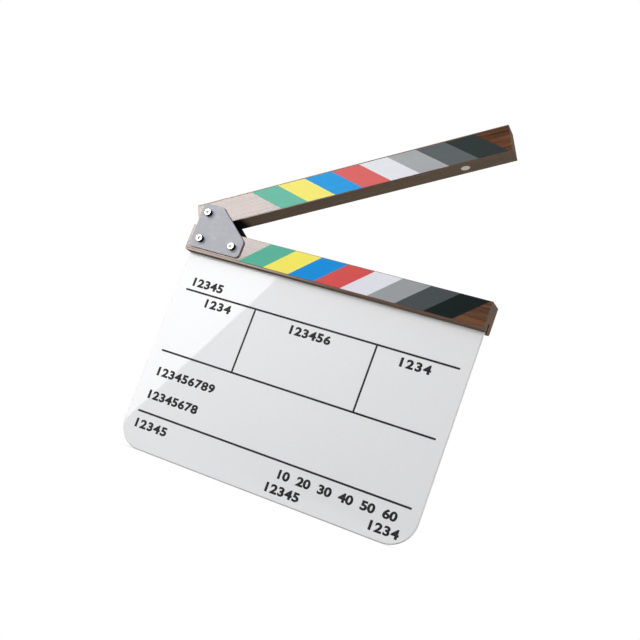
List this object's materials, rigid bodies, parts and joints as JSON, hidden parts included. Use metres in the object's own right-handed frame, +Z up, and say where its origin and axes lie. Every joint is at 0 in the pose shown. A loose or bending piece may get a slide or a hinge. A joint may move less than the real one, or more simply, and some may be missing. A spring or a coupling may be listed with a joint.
{
  "type": "clapperboard",
  "caption": "Clapperboard: white acrylic slate hung in a grooved hardwood stick, with a hinged clap stick, slanted colour bands and closing magnets.",
  "frame": {"origin": "middle of the slate's bottom edge, where a holder or a hand grips it", "axes": "+Z up the slate, +X along the sticks away from the hinge, front of the slate faces -Y"},
  "size_m": [0.3045, 0.0318, 0.3707],
  "materials": {
    "white_acrylic": "polished white acrylic sheet",
    "hardwood": "dark brown hardwood, satin lacquer",
    "hinge_plate_grey": "satin grey coated steel",
    "hinge_plate_black": "satin black coated steel",
    "screw_steel": "bright plated steel",
    "magnet_nickel": "nickel plate",
    "washer_nylon": "natural nylon",
    "wood_screw_zinc": "zinc plated steel",
    "band_green": "satin colour film",
    "band_yellow": "satin colour film",
    "band_blue": "satin colour film",
    "band_red": "satin colour film",
    "band_white": "satin colour film",
    "band_light_grey": "satin colour film",
    "band_dark_grey": "satin colour film",
    "band_black": "satin colour film"
  },
  "bodies": {
    "slate": {"acrylic_board": "white_acrylic", "lower_stick": "hardwood", "lower_magnet": "magnet_nickel", "lower_band_green": "band_green", "lower_band_yellow": "band_yellow", "lower_band_blue": "band_blue", "lower_band_red": "band_red", "lower_band_white": "band_white", "lower_band_light_grey": "band_light_grey", "lower_band_dark_grey": "band_dark_grey", "lower_band_black": "band_black", "front_hinge_plate": "hinge_plate_grey", "back_hinge_plate": "hinge_plate_black", "pivot_screw": "screw_steel", "pivot_barrel_nut": "screw_steel", "fixing_screws": "screw_steel", "fixing_barrel_nuts": "screw_steel", "pivot_washers": "washer_nylon", "board_screws": "wood_screw_zinc"},
    "clap_stick": {"upper_stick": "hardwood", "upper_magnet": "magnet_nickel", "upper_band_green": "band_green", "upper_band_yellow": "band_yellow", "upper_band_blue": "band_blue", "upper_band_red": "band_red", "upper_band_white": "band_white", "upper_band_light_grey": "band_light_grey", "upper_band_dark_grey": "band_dark_grey", "upper_band_black": "band_black"}
  },
  "joints": [
    {"name": "clap_hinge", "type": "hinge", "parent": "slate", "child": "clap_stick", "pos_m": [-0.13725, 0, 0.22815], "axis": [0, -1, 0], "range_deg": [-27.2, 62.8]}
  ]
}
